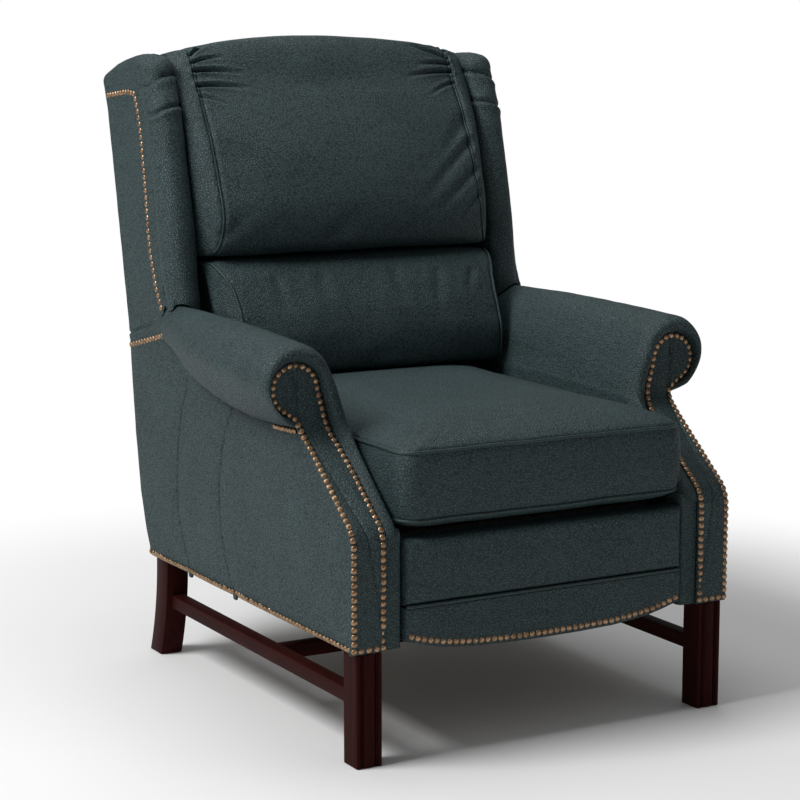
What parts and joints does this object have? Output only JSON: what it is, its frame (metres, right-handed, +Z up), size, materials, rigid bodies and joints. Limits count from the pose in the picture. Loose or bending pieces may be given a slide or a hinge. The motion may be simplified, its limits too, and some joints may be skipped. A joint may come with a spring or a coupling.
{
  "type": "wingback recliner",
  "caption": "High-leg wingback recliner with rolled arms, loose pillows, a sliding seat and a front panel that swings out as a footrest.",
  "frame": {"origin": "on the floor, midway across the chair and midway between its front and rear", "axes": "+Z up, +Y to the rear of the chair, +X to the right of a viewer who faces its front"},
  "size_m": [0.8586, 0.9944, 1.1273],
  "materials": {
    "mahogany": "satin",
    "leather": "satin, pebbled",
    "frame_wood": "raw",
    "black_steel": "satin",
    "spring_steel": "satin",
    "decking": "matt"
  },
  "bodies": {
    "base": {"front_leg_right": "mahogany", "front_leg_left": "mahogany", "rear_leg_right": "mahogany", "rear_leg_left": "mahogany", "side_stretcher_right": "mahogany", "side_stretcher_left": "mahogany", "cross_stretcher": "mahogany", "side_rail_right": "frame_wood", "side_rail_left": "frame_wood", "rear_rail": "frame_wood", "base_plate_right": "black_steel", "base_plate_left": "black_steel", "front_post_right": "leather", "front_post_left": "leather", "outside_arm_right": "leather", "outside_arm_left": "leather", "inside_arm_right": "leather", "inside_arm_left": "leather", "arm_roll_right": "leather", "arm_roll_left": "leather", "arm_facing_right": "leather", "arm_facing_left": "leather"},
    "seat": {"seat_plate_right": "black_steel", "seat_plate_left": "black_steel", "seat_front_rail": "frame_wood", "seat_rear_rail": "frame_wood", "seat_spring_1": "spring_steel", "seat_spring_2": "spring_steel", "seat_spring_3": "spring_steel", "seat_spring_4": "spring_steel", "seat_deck": "decking", "seat_cushion": "leather"},
    "back": {"back_post_right": "frame_wood", "back_post_left": "frame_wood", "back_bottom_rail": "frame_wood", "back_top_rail": "frame_wood", "back_bracket_right": "black_steel", "back_bracket_left": "black_steel", "inside_back": "leather", "outside_back": "leather", "wing_right": "leather", "wing_left": "leather", "headrest_pillow": "leather", "lumbar_pillow": "leather"},
    "rear_links": {"rear_link_right": "black_steel", "rear_link_left": "black_steel", "drive_tube": "black_steel"},
    "front_links": {"front_link_right": "black_steel", "front_link_left": "black_steel"},
    "carrier_links": {"carrier_link_right": "black_steel", "carrier_link_left": "black_steel"},
    "control_links": {"control_link_right": "black_steel", "control_link_left": "black_steel"},
    "footrest": {"footrest_board": "frame_wood", "footrest_pad": "leather", "footrest_welt": "leather", "footrest_apron": "leather", "footrest_bracket_right": "black_steel", "footrest_bracket_left": "black_steel"}
  },
  "joints": [
    {"name": "back_recline", "type": "hinge", "parent": "base", "child": "back", "pos_m": [0, 0.20678, 0.33], "axis": [-1, 0, 0], "range_deg": [0, 30]},
    {"name": "seat_slide", "type": "slide", "parent": "base", "child": "seat", "axis": [0, -1, 0], "range_m": [0, 0.035]},
    {"name": "footrest_open", "type": "hinge", "parent": "seat", "child": "rear_links", "pos_m": [0, -0.28822, 0.306], "axis": [-1, 0, 0], "range_deg": [0, 112]},
    {"name": "front_link_turn", "type": "hinge", "parent": "seat", "child": "front_links", "pos_m": [0, -0.33422, 0.335], "axis": [-1, 0, 0], "range_deg": [0, 112]},
    {"name": "carrier_turn", "type": "hinge", "parent": "rear_links", "child": "carrier_links", "pos_m": [0, -0.14322, 0.205], "axis": [-1, 0, 0], "range_deg": [-112, 0]},
    {"name": "control_turn", "type": "hinge", "parent": "front_links", "child": "control_links", "pos_m": [0, -0.17002, 0.1989], "axis": [-1, 0, 0], "range_deg": [-111, 0]},
    {"name": "footrest_turn", "type": "hinge", "parent": "carrier_links", "child": "footrest", "pos_m": [0, -0.44322, 0.335], "axis": [-1, 0, 0], "range_deg": [0, 90]}
  ],
  "couplings": [
    {"joint": "seat_slide", "follows": "back_recline", "m_per_rad": 0.0668},
    {"joint": "front_link_turn", "follows": "footrest_open", "ratio": 1},
    {"joint": "carrier_turn", "follows": "footrest_open", "ratio": -1},
    {"joint": "control_turn", "follows": "footrest_open", "ratio": -0.99018},
    {"joint": "footrest_turn", "follows": "footrest_open", "ratio": 0.80357}
  ]
}
